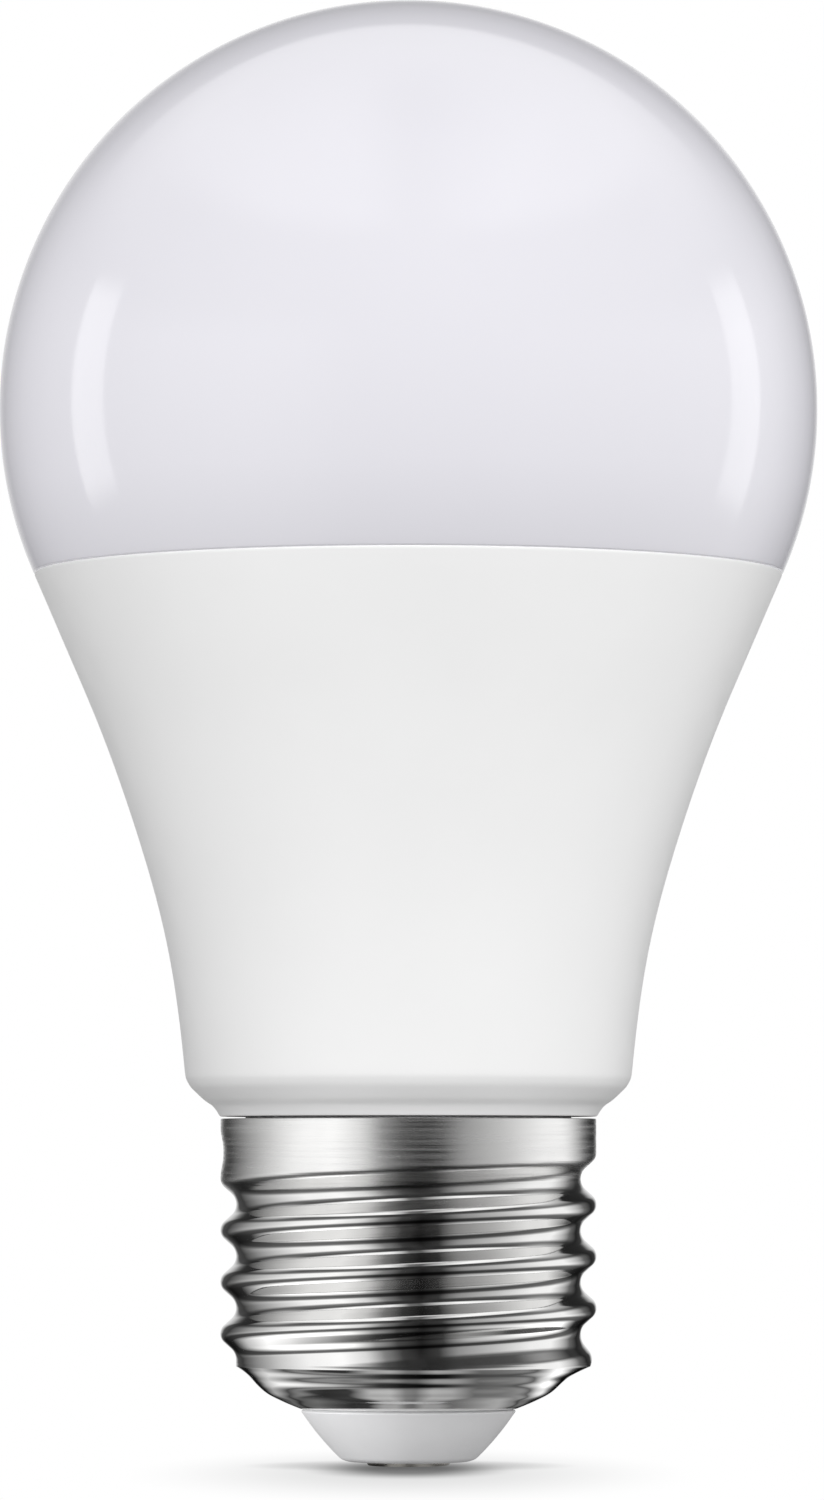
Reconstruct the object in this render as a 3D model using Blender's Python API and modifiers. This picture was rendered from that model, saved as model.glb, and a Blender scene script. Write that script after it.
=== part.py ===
"""Smart LED light bulb: opal globe, tapered housing and Edison screw cap, with the lamp's electronics inside.

Origin at the middle of the centre contact's bottom face, +Z along the bulb's axis towards the globe.
Lengths below are in millimetres, and MM turns them into metres.
"""

import math

import bmesh
import bpy
from mathutils import Matrix, Vector

MM = 0.001
GAP = 0.3
FULL_TURN = 2 * math.pi

# Globe
GLOBE_R = 28.85
GLOBE_Z = 74.3
GLOBE_WALL = 1.2
GLOBE_EDGE_Z = 62.9
SPIGOT_R = 23.9
SPIGOT_WALL = 1.15
SPIGOT_BOTTOM_Z = 60.4
SPIGOT_ROOT_Z = 63.4
GLOBE_INNER_EDGE_Z = 64.8

# Housing: outline as (radius, height) from the rim down to the shoulder above the cap
HOUSING_RIM_Z = 62.6
HOUSING_OUTLINE = (
    (26.30, 62.6),
    (25.20, 59.9),
    (23.65, 56.3),
    (21.95, 52.4),
    (20.30, 48.0),
    (18.75, 43.3),
    (17.50, 39.0),
    (16.60, 34.8),
    (16.02, 30.6),
    (15.72, 27.6),
    (15.40, 26.6),
    (14.40, 25.6),
    (13.45, 24.8),
    (13.20, 24.6),
)
HOUSING_WALL = 1.7
POCKET_R = SPIGOT_R + GAP
POCKET_Z = 59.2
ADHESIVE_R = (23.25, 23.85)
FUNNEL_TOP_Z = 34.0
FUNNEL_BOTTOM_Z = 27.4
NECK_R = 11.45
NECK_BORE_R = 9.8
NECK_BOTTOM_Z = 7.5
WIRE_GROOVE_R = 10.4
WIRE_GROOVE_WIDTH = 1.6
GUIDE_THICKNESS = 0.8
GUIDE_INNER_X = 7.4
GUIDE_OUTER_X = 10.3
GUIDE_TOP_Z = 26.0
GUIDE_BOTTOM_Z = 10.0

# Screw cap: Edison thread of 26.4 mm over the crests, seven turns to the inch, right-handed
COLLAR_TOP_Z = 24.3
THREAD_CREST_R = 13.2
THREAD_ROOT_R = 12.1
THREAD_PITCH = 25.4 / 7
THREAD_ARC_R = 1.025
THREAD_START_ANGLE = math.radians(14)
GROOVE_FULL_Z = 20.2
GROOVE_END_Z = 22.5
RIDGE_FULL_Z = 9.8
RIDGE_END_Z = 5.6
DOME_TOP_Z = 6.95
SHEET = 0.3
DOME_OUTLINE = (
    (11.45, 6.55),
    (11.02, 6.10),
    (10.50, 5.50),
    (9.85, 4.95),
    (8.60, 4.38),
    (7.65, 4.00),
)
THREAD_LEVELS = 26
CAP_SEGMENTS = 36

# Insulator and centre contact
CONE_TOP_R = 7.5
CONE_TOP_Z = 3.7
CONE_BOTTOM_R = 4.36
CONE_BOTTOM_Z = 0.31
LIP_GROOVE_R = 7.2
FLANGE_R = 8.8
FLANGE_BOTTOM_Z = 5.1
FLANGE_TOP_Z = 6.2
CONTACT_R = 2.9
CONTACT_HEAD = 0.55
CONTACT_SHANK_R = 1.0

# Heat path
CUP_WALL = 1.2
CUP_TOP_Z = 59.4
CUP_R = 22.7
CUP_BOTTOM_Z = 36.0
CUP_WALL_TOP_Z = 57.0
PAD_R = 21.5
PAD_Z = (59.7, 60.2)
BOARD_R = 22.3
BOARD_Z = (60.5, 61.7)
SCREW_X = 13.2
SCREW_SHANK_R = 1.2
SCREW_HEAD_R = 2.5
SCREW_HOLE_R = 1.6
HEADER_SLOT = (12.0, 3.6)
MODULE_SLOT = (17.6, 2.4)

# Light sources
WHITE_LEDS = 12
WHITE_LED_RING_R = 17.6
WHITE_LED_SIZE = (3.5, 2.8, 0.7)
COLOUR_LEDS = 4
COLOUR_LED_OFFSET = 8.9
COLOUR_LED_SIZE = (3.5, 3.5, 0.8)
LED_BOTTOM_Z = BOARD_Z[1] + GAP

# Driver board, standing upright in the housing
BOARD_Y = -2.5
BOARD_THICKNESS = 1.0
FRONT_Y = BOARD_Y + BOARD_THICKNESS / 2 + GAP
BACK_Y = BOARD_Y - BOARD_THICKNESS / 2 - GAP
DRIVER_HALF_NECK = 8.9
DRIVER_HALF_TOP = 11.4
DRIVER_OUTLINE = (
    (-DRIVER_HALF_NECK, 9.0),
    (DRIVER_HALF_NECK, 9.0),
    (DRIVER_HALF_NECK, 32.0),
    (DRIVER_HALF_TOP, 38.0),
    (DRIVER_HALF_TOP, 54.0),
    (-DRIVER_HALF_TOP, 54.0),
    (-DRIVER_HALF_TOP, 38.0),
    (-DRIVER_HALF_NECK, 32.0),
)
SLEEVE_WALL = 0.9
SLEEVE_TOP_Z = 57.8
SLEEVE_BOTTOM_Z = 34.8

MODULE_Y = 3.5
MODULE_SIZE = (16.0, 0.8, 20.5)
MODULE_Z = 61.3

ROUND_SEGMENTS = 48


# Colours as linear RGB, with roughness and metallic
FINISHES = {
    "opal_plastic": ((0.80, 0.79, 0.84), 0.35, 0.0),
    "white_plastic": ((0.85, 0.85, 0.85), 0.45, 0.0),
    "nickel_plate": ((0.72, 0.71, 0.69), 0.22, 1.0),
    "insulator_plastic": ((0.62, 0.62, 0.63), 0.5, 0.0),
    "contact_metal": ((0.70, 0.68, 0.63), 0.3, 1.0),
    "silicone": ((0.75, 0.75, 0.73), 0.6, 0.0),
    "pressed_aluminium": ((0.78, 0.79, 0.80), 0.4, 1.0),
    "thermal_silicone": ((0.45, 0.52, 0.60), 0.8, 0.0),
    "white_solder_mask": ((0.88, 0.88, 0.86), 0.4, 0.0),
    "screw_steel": ((0.60, 0.60, 0.60), 0.3, 1.0),
    "white_phosphor": ((0.85, 0.62, 0.12), 0.5, 0.0),
    "clear_resin": ((0.70, 0.72, 0.74), 0.2, 0.0),
    "connector_plastic": ((0.80, 0.78, 0.70), 0.5, 0.0),
    "header_plastic": ((0.03, 0.03, 0.03), 0.5, 0.0),
    "module_board": ((0.02, 0.05, 0.16), 0.4, 0.0),
    "shield_tin": ((0.66, 0.66, 0.67), 0.3, 1.0),
    "sleeve_plastic": ((0.70, 0.70, 0.68), 0.5, 0.0),
    "driver_laminate": ((0.36, 0.24, 0.09), 0.6, 0.0),
    "capacitor_sleeve": ((0.02, 0.025, 0.04), 0.35, 0.0),
    "ferrite": ((0.05, 0.05, 0.055), 0.6, 0.0),
    "bobbin_plastic": ((0.04, 0.04, 0.045), 0.5, 0.0),
    "winding_tape": ((0.75, 0.55, 0.05), 0.4, 0.0),
    "enamelled_copper": ((0.45, 0.16, 0.06), 0.3, 1.0),
    "film_case": ((0.60, 0.10, 0.05), 0.4, 0.0),
    "varistor_epoxy": ((0.03, 0.12, 0.42), 0.45, 0.0),
    "resistor_lacquer": ((0.28, 0.42, 0.42), 0.5, 0.0),
    "chip_epoxy": ((0.03, 0.03, 0.03), 0.55, 0.0),
    "live_insulation": ((0.50, 0.03, 0.03), 0.45, 0.0),
    "tinned_copper": ((0.70, 0.68, 0.65), 0.3, 1.0),
}


def clear_scene():
    for obj in list(bpy.data.objects):
        bpy.data.objects.remove(obj, do_unlink=True)


def new_collection(name, helper=False):
    collection = bpy.data.collections.new(name)
    collection.hide_render = helper
    bpy.context.scene.collection.children.link(collection)
    return collection


def new_material(name):
    colour, roughness, metallic = FINISHES[name]
    made = bpy.data.materials.new(name)
    made.use_nodes = True
    made.diffuse_color = (*colour, 1.0)
    shader = made.node_tree.nodes["Principled BSDF"]
    shader.inputs["Base Color"].default_value = (*colour, 1.0)
    shader.inputs["Roughness"].default_value = roughness
    shader.inputs["Metallic"].default_value = metallic
    return made


clear_scene()
PARTS = new_collection("smart_light_bulb")
CUTTERS = new_collection("cutters", helper=True)
MATERIALS = {name: new_material(name) for name in FINISHES}


def register(obj, finish=None):
    """Puts the object in its collection: parts have a finish, cutters have none."""
    for collection in list(obj.users_collection):
        collection.objects.unlink(obj)
    if finish is None:
        CUTTERS.objects.link(obj)
        obj.hide_render = True
        obj.display_type = "WIRE"
        return obj
    PARTS.objects.link(obj)
    obj.data.materials.clear()
    obj.data.materials.append(MATERIALS[finish])
    return obj


def shade_round(obj, angle=35):
    obj.data.shade_smooth()
    obj.data.set_sharp_from_angle(angle=math.radians(angle))


def mesh_object(name, vertices, edges, faces):
    mesh = bpy.data.meshes.new(name)
    mesh.from_pydata(vertices, edges, faces)
    obj = bpy.data.objects.new(name, mesh)
    bpy.context.scene.collection.objects.link(obj)
    return obj


def realised(obj):
    """Replaces the object's mesh with its evaluated one and drops the modifiers."""
    bpy.context.view_layer.update()
    graph = bpy.context.evaluated_depsgraph_get()
    mesh = bpy.data.meshes.new_from_object(obj.evaluated_get(graph))
    obj.modifiers.clear()
    obj.data = mesh
    return obj


def turned(name, outline, finish=None, segments=ROUND_SEGMENTS, loop=False):
    """A turned solid. The outline is (radius, height) down the outer side, closed in a loop for a ring."""
    vertices = [(radius * MM, 0, height * MM) for radius, height in outline]
    edges = [(i, i + 1) for i in range(len(outline) - 1)]
    if loop:
        edges.append((len(outline) - 1, 0))
    obj = mesh_object(name, vertices, edges, [])
    screw = obj.modifiers.new("turn", "SCREW")
    screw.axis = "Z"
    screw.steps = segments
    screw.render_steps = segments
    screw.use_merge_vertices = True
    screw.merge_threshold = 0.00001
    screw.use_smooth_shade = True
    realised(obj)
    shade_round(obj)
    return register(obj, finish)


def box(name, size, centre, finish=None, bevel=0.0, turn=0.0):
    bpy.ops.mesh.primitive_cube_add(size=1)
    obj = bpy.context.object
    obj.name = name
    obj.data.name = name
    obj.data.transform(Matrix.Diagonal((size[0] * MM, size[1] * MM, size[2] * MM, 1)))
    obj.location = [value * MM for value in centre]
    obj.rotation_euler = (0, 0, turn)
    if bevel:
        rounded(obj, bevel)
    return register(obj, finish)


def rounded(obj, width, segments=2):
    bevel = obj.modifiers.new("rounded_edges", "BEVEL")
    bevel.width = width * MM
    bevel.segments = segments
    bevel.limit_method = "ANGLE"
    bevel.angle_limit = math.radians(40)
    return obj


def rod(name, radius, length, centre, finish=None, axis="Z", segments=32, bevel=0.0):
    bpy.ops.mesh.primitive_cylinder_add(vertices=segments, radius=radius * MM, depth=length * MM)
    obj = bpy.context.object
    obj.name = name
    obj.data.name = name
    turns = {"Z": Matrix.Identity(4), "Y": Matrix.Rotation(math.pi / 2, 4, "X")}
    turns["X"] = Matrix.Rotation(math.pi / 2, 4, "Y")
    obj.data.transform(turns[axis])
    obj.location = [value * MM for value in centre]
    if bevel:
        rounded(obj, bevel)
    register(obj, finish)
    shade_round(obj)
    return obj


def boolean(target, other, operation="DIFFERENCE"):
    modifier = target.modifiers.new(other.name, "BOOLEAN")
    modifier.object = other
    modifier.operation = operation
    modifier.solver = "EXACT"
    return target


def plate(name, outline, thickness, y, finish):
    """A flat board standing in the XZ plane, centred on y."""
    curve = bpy.data.curves.new(name, "CURVE")
    curve.dimensions = "2D"
    curve.fill_mode = "BOTH"
    curve.extrude = thickness / 2 * MM
    spline = curve.splines.new("POLY")
    spline.points.add(len(outline) - 1)
    for point, (x, z) in zip(spline.points, outline):
        point.co = (x * MM, z * MM, 0, 1)
    spline.use_cyclic_u = True
    obj = bpy.data.objects.new(name, curve)
    bpy.context.scene.collection.objects.link(obj)
    obj.matrix_world = Matrix.Translation((0, y * MM, 0)) @ Matrix.Rotation(math.pi / 2, 4, "X")
    return register(as_mesh(obj), finish)


def as_mesh(curve_object):
    """The curve object's solid as a mesh object of the same name, with its caps welded on."""
    name = curve_object.name
    bpy.context.view_layer.update()
    graph = bpy.context.evaluated_depsgraph_get()
    mesh = bpy.data.meshes.new_from_object(curve_object.evaluated_get(graph))
    matrix = curve_object.matrix_world.copy()
    bpy.data.objects.remove(curve_object, do_unlink=True)
    work = bmesh.new()
    work.from_mesh(mesh)
    bmesh.ops.remove_doubles(work, verts=work.verts, dist=0.000001)
    bmesh.ops.recalc_face_normals(work, faces=work.faces)
    work.to_mesh(mesh)
    work.free()
    obj = bpy.data.objects.new(name, mesh)
    bpy.context.scene.collection.objects.link(obj)
    obj.matrix_world = matrix
    return obj


def wire(name, points, radius, finish):
    curve = bpy.data.curves.new(name, "CURVE")
    curve.dimensions = "3D"
    curve.bevel_depth = radius * MM
    curve.bevel_resolution = 2
    curve.use_fill_caps = True
    spline = curve.splines.new("POLY")
    spline.points.add(len(points) - 1)
    for point, place in zip(spline.points, points):
        point.co = (*[value * MM for value in place], 1)
    obj = bpy.data.objects.new(name, curve)
    bpy.context.scene.collection.objects.link(obj)
    made = register(as_mesh(obj), finish)
    shade_round(made, 50)
    return made


def smooth_path(points, steps=4):
    """Points of a Catmull-Rom curve through the given ones."""
    ends = [Vector(p) for p in points]
    ends = [2 * ends[0] - ends[1], *ends, 2 * ends[-1] - ends[-2]]
    path = [ends[1]]
    for a, b, c, d in zip(ends, ends[1:], ends[2:], ends[3:]):
        for i in range(1, steps + 1):
            t = i / steps
            bend = (2 * a - 5 * b + 4 * c - d) * t**2
            twist = (3 * b - a - 3 * c + d) * t**3
            path.append((2 * b + (c - a) * t + bend + twist) / 2)
    return [tuple(p) for p in path]


def globe_arc(radius, end_z, count):
    """Points (radius, height) on a sphere about the globe's centre, from its pole down to a height."""
    end = math.acos((end_z - GLOBE_Z) / radius)
    angles = [end * i / count for i in range(count + 1)]
    return [(radius * math.sin(angle), GLOBE_Z + radius * math.cos(angle)) for angle in angles]


def outline_radius(outline, height):
    """Radius of a falling outline at a height, by straight lines between its points."""
    for (r1, z1), (r2, z2) in zip(outline, outline[1:]):
        if z2 <= height <= z1:
            return r1 + (r2 - r1) * (z1 - height) / (z1 - z2)
    return outline[0][0] if height > outline[0][1] else outline[-1][0]


# --- Globe ---------------------------------------------------------------------------------------

def make_diffuser():
    inner_r = GLOBE_R - GLOBE_WALL
    spigot_inner_r = SPIGOT_R - SPIGOT_WALL
    outer = globe_arc(GLOBE_R, GLOBE_EDGE_Z, 16)
    inner = globe_arc(inner_r, GLOBE_INNER_EDGE_Z, 12)
    spigot = [
        (SPIGOT_R, GLOBE_EDGE_Z),
        (SPIGOT_R, SPIGOT_BOTTOM_Z),
        (spigot_inner_r, SPIGOT_BOTTOM_Z),
        (spigot_inner_r, SPIGOT_ROOT_Z),
    ]
    turned("diffuser", outer + spigot + inner[::-1], "opal_plastic")


def make_adhesive():
    inner_r, outer_r = ADHESIVE_R
    bottom = POCKET_Z + GAP
    top = SPIGOT_BOTTOM_Z - GAP
    ring = [(outer_r, top), (outer_r, bottom), (inner_r, bottom), (inner_r, top)]
    turned("diffuser_adhesive", ring, "silicone", loop=True)


# --- Housing -------------------------------------------------------------------------------------

def make_housing():
    ledge_r = outline_radius(HOUSING_OUTLINE, POCKET_Z) - HOUSING_WALL
    inner = [(POCKET_R, HOUSING_RIM_Z), (POCKET_R, POCKET_Z), (ledge_r, POCKET_Z)]
    for r, z in HOUSING_OUTLINE:
        if FUNNEL_TOP_Z < z < POCKET_Z:
            inner.append((r - HOUSING_WALL, z))
    inner.append((outline_radius(HOUSING_OUTLINE, FUNNEL_TOP_Z) - HOUSING_WALL, FUNNEL_TOP_Z))
    inner.append((NECK_BORE_R, FUNNEL_BOTTOM_Z))
    inner.append((NECK_BORE_R, NECK_BOTTOM_Z))
    neck = [(NECK_R, HOUSING_OUTLINE[-1][1]), (NECK_R, NECK_BOTTOM_Z)]
    housing = turned("housing", list(HOUSING_OUTLINE) + neck + inner[::-1], "white_plastic", loop=True)

    groove = box(
        "neutral_groove_cutter",
        (4.0, WIRE_GROOVE_WIDTH, 16.0),
        (WIRE_GROOVE_R + 2.0, 0, NECK_BOTTOM_Z + 7.0),
    )
    boolean(housing, groove)
    for side in (-1, 1):
        for face in (-1, 1):
            y = BOARD_Y + face * (BOARD_THICKNESS / 2 + GAP + GUIDE_THICKNESS / 2)
            guide = box(
                f"board_guide_{'left' if side < 0 else 'right'}_{'back' if face < 0 else 'front'}",
                (GUIDE_OUTER_X - GUIDE_INNER_X, GUIDE_THICKNESS, GUIDE_TOP_Z - GUIDE_BOTTOM_Z),
                (side * (GUIDE_OUTER_X + GUIDE_INNER_X) / 2, y, (GUIDE_TOP_Z + GUIDE_BOTTOM_Z) / 2),
            )
            boolean(housing, guide, "UNION")


# --- Screw cap -----------------------------------------------------------------------------------

def ramp(value, start, end):
    """0 at start and below, 1 at end and above, smooth between."""
    t = min(max((value - start) / (end - start), 0), 1)
    return t * t * (3 - 2 * t)


def thread_wave(turns):
    """Edison thread's section: 1 on a crest, 0 in a root, made of equal arcs."""
    depth = THREAD_CREST_R - THREAD_ROOT_R
    along = abs(turns - round(turns)) * THREAD_PITCH
    quarter = THREAD_PITCH / 4
    if along <= quarter:
        return 1 - (THREAD_ARC_R - math.sqrt(THREAD_ARC_R**2 - along**2)) / depth
    along = 2 * quarter - along
    return (THREAD_ARC_R - math.sqrt(THREAD_ARC_R**2 - along**2)) / depth


def thread_height(height, angle):
    """How far the surface stands out of the root cylinder: all the way on the collar, fading out on the dome."""
    turns = height / THREAD_PITCH - (angle + THREAD_START_ANGLE) / FULL_TURN
    ridge = thread_wave(turns) * ramp(height, RIDGE_END_Z, RIDGE_FULL_Z)
    groove = 1 - ramp(height, GROOVE_FULL_Z, GROOVE_END_Z)
    return (THREAD_CREST_R - THREAD_ROOT_R) * (1 - (1 - ridge) * groove)


def sheet_inside(outline):
    """The inner side of a sheet whose outer side is the outline, one sheet thickness in."""
    inside = []
    for i, (radius, height) in enumerate(outline):
        before = outline[max(i - 1, 0)]
        after = outline[min(i + 1, len(outline) - 1)]
        run = Vector((after[0] - before[0], after[1] - before[1])).normalized()
        inside.append((radius + run.y * SHEET, height - run.x * SHEET))
    return inside


def make_cap_shell():
    step = (GROOVE_END_Z - DOME_TOP_Z) / THREAD_LEVELS
    outer = [(THREAD_ROOT_R, COLLAR_TOP_Z)]
    outer += [(THREAD_ROOT_R, GROOVE_END_Z - step * i) for i in range(THREAD_LEVELS + 1)]
    outer += list(DOME_OUTLINE)
    inner = sheet_inside(outer)
    shell = turned("cap_shell", outer + inner[::-1], "nickel_plate", segments=CAP_SEGMENTS, loop=True)
    for vertex in shell.data.vertices:
        x, y, z = (value / MM for value in vertex.co)
        if z <= RIDGE_END_Z:
            continue
        stretch = 1 + thread_height(z, math.atan2(y, x)) / math.hypot(x, y)
        vertex.co.x *= stretch
        vertex.co.y *= stretch
    shade_round(shell, 60)


def make_insulator():
    outline = [
        (0, FLANGE_TOP_Z),
        (FLANGE_R, FLANGE_TOP_Z),
        (FLANGE_R, FLANGE_BOTTOM_Z),
        (LIP_GROOVE_R, FLANGE_BOTTOM_Z),
        (LIP_GROOVE_R, CONE_TOP_Z),
        (CONE_TOP_R, CONE_TOP_Z),
        (CONE_TOP_R - 0.66, 2.8),
        (6.14, 1.92),
        (5.37, 1.09),
        (CONE_BOTTOM_R + 0.5, 0.6),
        (CONE_BOTTOM_R, CONE_BOTTOM_Z),
        (0, CONE_BOTTOM_Z),
    ]
    insulator = turned("cap_insulator", outline, "insulator_plastic", segments=36)
    recess_top = CONTACT_HEAD + GAP
    recess = rod("contact_recess_cutter", CONTACT_R + 0.4, 2.0, (0, 0, recess_top - 1.0), segments=36)
    hole = rod("contact_hole_cutter", CONTACT_SHANK_R + GAP, 12.0, (0, 0, 4.0))
    boolean(insulator, recess)
    boolean(insulator, hole)


def make_contact():
    outline = [
        (0, FLANGE_TOP_Z),
        (CONTACT_SHANK_R, FLANGE_TOP_Z),
        (CONTACT_SHANK_R, CONTACT_HEAD),
        (CONTACT_R - 0.15, CONTACT_HEAD),
        (CONTACT_R, CONTACT_HEAD - 0.15),
        (CONTACT_R, 0.2),
        (CONTACT_R - 0.2, 0),
        (0, 0),
    ]
    turned("centre_contact", outline, "contact_metal", segments=32)


# --- Heat path and light sources -----------------------------------------------------------------

def cup_outer_radius(height):
    return min(outline_radius(HOUSING_OUTLINE, height) - HOUSING_WALL - GAP, CUP_R)


def slots(target, z_low, z_high, margin=0.0):
    """Cuts the two board slots through a flat piece."""
    depth = z_high - z_low + 4.0
    middle = (z_high + z_low) / 2
    header = box(
        f"header_slot_{target.name}_cutter",
        (HEADER_SLOT[0] + margin, HEADER_SLOT[1] + margin, depth),
        (0, BOARD_Y, middle),
    )
    module = box(
        f"module_slot_{target.name}_cutter",
        (MODULE_SLOT[0] + margin, MODULE_SLOT[1] + margin, depth),
        (0, MODULE_Y, middle),
    )
    boolean(target, header)
    boolean(target, module)


def screw_holes(target, z_low, z_high, radius):
    for name, side in (("left", -1), ("right", 1)):
        hole = rod(
            f"screw_hole_{name}_{target.name}_cutter",
            radius,
            z_high - z_low + 4.0,
            (side * SCREW_X, 0, (z_high + z_low) / 2),
            segments=24,
        )
        boolean(target, hole)


def make_cup():
    deck_bottom = CUP_TOP_Z - CUP_WALL
    heights = [CUP_WALL_TOP_Z, 52.4, 48.0, 43.3, 39.0, CUP_BOTTOM_Z]
    outer = [(0, CUP_TOP_Z), (CUP_R - 0.8, CUP_TOP_Z), (CUP_R, CUP_TOP_Z - 0.8)]
    outer += [(cup_outer_radius(z), z) for z in heights]
    inner = [(cup_outer_radius(z) - CUP_WALL, z) for z in heights]
    inner = [(0, deck_bottom), (inner[0][0], deck_bottom)] + inner
    cup = turned("heat_sink_cup", outer + inner[::-1], "pressed_aluminium", segments=40)
    slots(cup, deck_bottom, CUP_TOP_Z, margin=1.0)
    screw_holes(cup, deck_bottom, CUP_TOP_Z, SCREW_SHANK_R + GAP)


def make_pad():
    middle = (0, 0, sum(PAD_Z) / 2)
    pad = rod("thermal_pad", PAD_R, PAD_Z[1] - PAD_Z[0], middle, "thermal_silicone", segments=48)
    slots(pad, *PAD_Z, margin=0.6)
    screw_holes(pad, *PAD_Z, SCREW_HOLE_R + 0.4)


def make_led_board():
    middle = (0, 0, sum(BOARD_Z) / 2)
    board = rod("led_board", BOARD_R, BOARD_Z[1] - BOARD_Z[0], middle, "white_solder_mask", segments=48)
    slots(board, *BOARD_Z)
    screw_holes(board, *BOARD_Z, SCREW_HOLE_R)


def make_screws():
    head_bottom = BOARD_Z[1] + GAP
    outline = [
        (0, head_bottom + 1.5),
        (SCREW_HEAD_R * 0.72, head_bottom + 1.5),
        (SCREW_HEAD_R, head_bottom + 0.8),
        (SCREW_HEAD_R, head_bottom),
        (SCREW_SHANK_R, head_bottom),
        (SCREW_SHANK_R, head_bottom - 4.6),
        (0, head_bottom - 5.6),
    ]
    for number, side in enumerate((-1, 1), 1):
        screw = turned(f"board_screw_{number}", outline, "screw_steel", segments=20)
        screw.location.x = side * SCREW_X * MM
        for direction, size in (("across", (2.8, 0.6, 1.6)), ("along", (0.6, 2.8, 1.6))):
            recess = box(
                f"drive_recess_{number}_{direction}_cutter",
                size,
                (side * SCREW_X, 0, head_bottom + 1.5),
            )
            boolean(screw, recess)


def make_leds():
    for i in range(WHITE_LEDS):
        angle = FULL_TURN * (i + 0.5) / WHITE_LEDS
        place = (
            WHITE_LED_RING_R * math.cos(angle),
            WHITE_LED_RING_R * math.sin(angle),
            LED_BOTTOM_Z + WHITE_LED_SIZE[2] / 2,
        )
        box(f"white_led_{i + 1:02d}", WHITE_LED_SIZE, place, "white_phosphor", turn=angle)
    for i in range(COLOUR_LEDS):
        angle = FULL_TURN * (i + 0.5) / COLOUR_LEDS
        place = (
            math.copysign(COLOUR_LED_OFFSET, math.cos(angle)),
            math.copysign(COLOUR_LED_OFFSET, math.sin(angle)),
            LED_BOTTOM_Z + COLOUR_LED_SIZE[2] / 2,
        )
        box(f"colour_led_{i + 1}", COLOUR_LED_SIZE, place, "clear_resin")


# --- Boards and connectors -----------------------------------------------------------------------

def make_led_connection():
    pins = 4
    pin_pitch = 2.5
    pin_side = 0.64
    block_bottom = 54.3
    block_top = 56.8
    pin_top = 64.2
    header = box(
        "led_header",
        (pins * pin_pitch, 2.4, block_top - block_bottom),
        (0, BOARD_Y, (block_top + block_bottom) / 2),
        "header_plastic",
    )
    socket_bottom = BOARD_Z[1] + GAP
    socket_height = 3.4
    socket = box(
        "led_socket",
        (pins * pin_pitch + 1.0, 3.4, socket_height),
        (0, BOARD_Y, socket_bottom + socket_height / 2),
        "connector_plastic",
    )
    for i in range(pins):
        x = (i - (pins - 1) / 2) * pin_pitch
        pin_bottom = block_top - 1.0
        pin = box(
            f"header_pin_{i + 1}",
            (pin_side, pin_side, pin_top - pin_bottom),
            (x, BOARD_Y, (pin_top + pin_bottom) / 2),
        )
        boolean(header, pin, "UNION")
        opening = box(
            f"socket_hole_{i + 1}_cutter",
            (pin_side + 2 * GAP, pin_side + 2 * GAP, 2.8 + 2.0),
            (x, BOARD_Y, socket_bottom + 2.8 - 2.4),
        )
        boolean(socket, opening)


def make_wireless_module():
    box("wireless_board", MODULE_SIZE, (0, MODULE_Y, MODULE_Z), "module_board")
    shield_y = MODULE_Y + MODULE_SIZE[1] / 2 + GAP + 1.0
    shield = box("wireless_shield", (12.0, 2.0, 5.2), (0, shield_y, 54.6), "shield_tin", bevel=0.25)
    hollow = box(
        "shield_hollow_cutter",
        (11.4, 2.0, 4.6),
        (0, shield_y - 0.3, 54.6),
    )
    boolean(shield, hollow)
    header_from = FRONT_Y
    header_to = MODULE_Y - MODULE_SIZE[1] / 2 - GAP
    box(
        "wireless_header",
        (12.0, header_to - header_from, 2.4),
        (0, (header_to + header_from) / 2, 52.6),
        "header_plastic",
        bevel=0.2,
    )


def make_sleeve():
    heights = [SLEEVE_TOP_Z, 52.4, 48.0, 43.3, 39.0, SLEEVE_BOTTOM_Z]
    limits = [min(max(z, CUP_BOTTOM_Z), CUP_WALL_TOP_Z) for z in heights]
    outer = [(cup_outer_radius(limit) - CUP_WALL - GAP, z) for limit, z in zip(limits, heights)]
    inner = [(r - SLEEVE_WALL, z) for r, z in outer]
    turned("driver_sleeve", outer + inner[::-1], "sleeve_plastic", segments=40, loop=True)


def make_driver_board():
    plate("driver_board", DRIVER_OUTLINE, BOARD_THICKNESS, BOARD_Y, "driver_laminate")


# --- Driver components ---------------------------------------------------------------------------

def make_can_capacitor(name, radius, bottom, top, x, y):
    """Electrolytic capacitor lying along the board: crimped can with a rolled-in foot."""
    outline = [
        (0, top),
        (radius - 0.5, top),
        (radius, top - 0.5),
        (radius, bottom + 2.2),
        (radius - 0.35, bottom + 1.8),
        (radius, bottom + 1.4),
        (radius, bottom + 0.4),
        (radius - 0.4, bottom),
        (0, bottom),
    ]
    can = turned(name, outline, "capacitor_sleeve", segments=28)
    can.location = (x * MM, y * MM, 0)


def make_transformer():
    middle_z = 43.0
    core_y = FRONT_Y + 4.8
    core = box("transformer_core", (13.0, 5.0, 13.0), (0, core_y, middle_z), "ferrite")
    for name, side in (("left", -1), ("right", 1)):
        window = box(f"core_window_{name}_cutter", (2.8, 8.0, 9.0), (side * 3.2, core_y, middle_z))
        boolean(core, window)
    bobbin = box("transformer_bobbin", (5.2, 6.4, 8.2), (0, core_y, middle_z), "bobbin_plastic")
    tunnel = box("bobbin_tunnel_cutter", (4.2, 5.6, 12.0), (0, core_y, middle_z))
    boolean(bobbin, tunnel)
    winding = box("transformer_winding", (7.6, 9.2, 7.0), (0, core_y, middle_z), "winding_tape")
    winding_hole = box("winding_hole_cutter", (5.8, 7.0, 12.0), (0, core_y, middle_z))
    boolean(winding, winding_hole)


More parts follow.
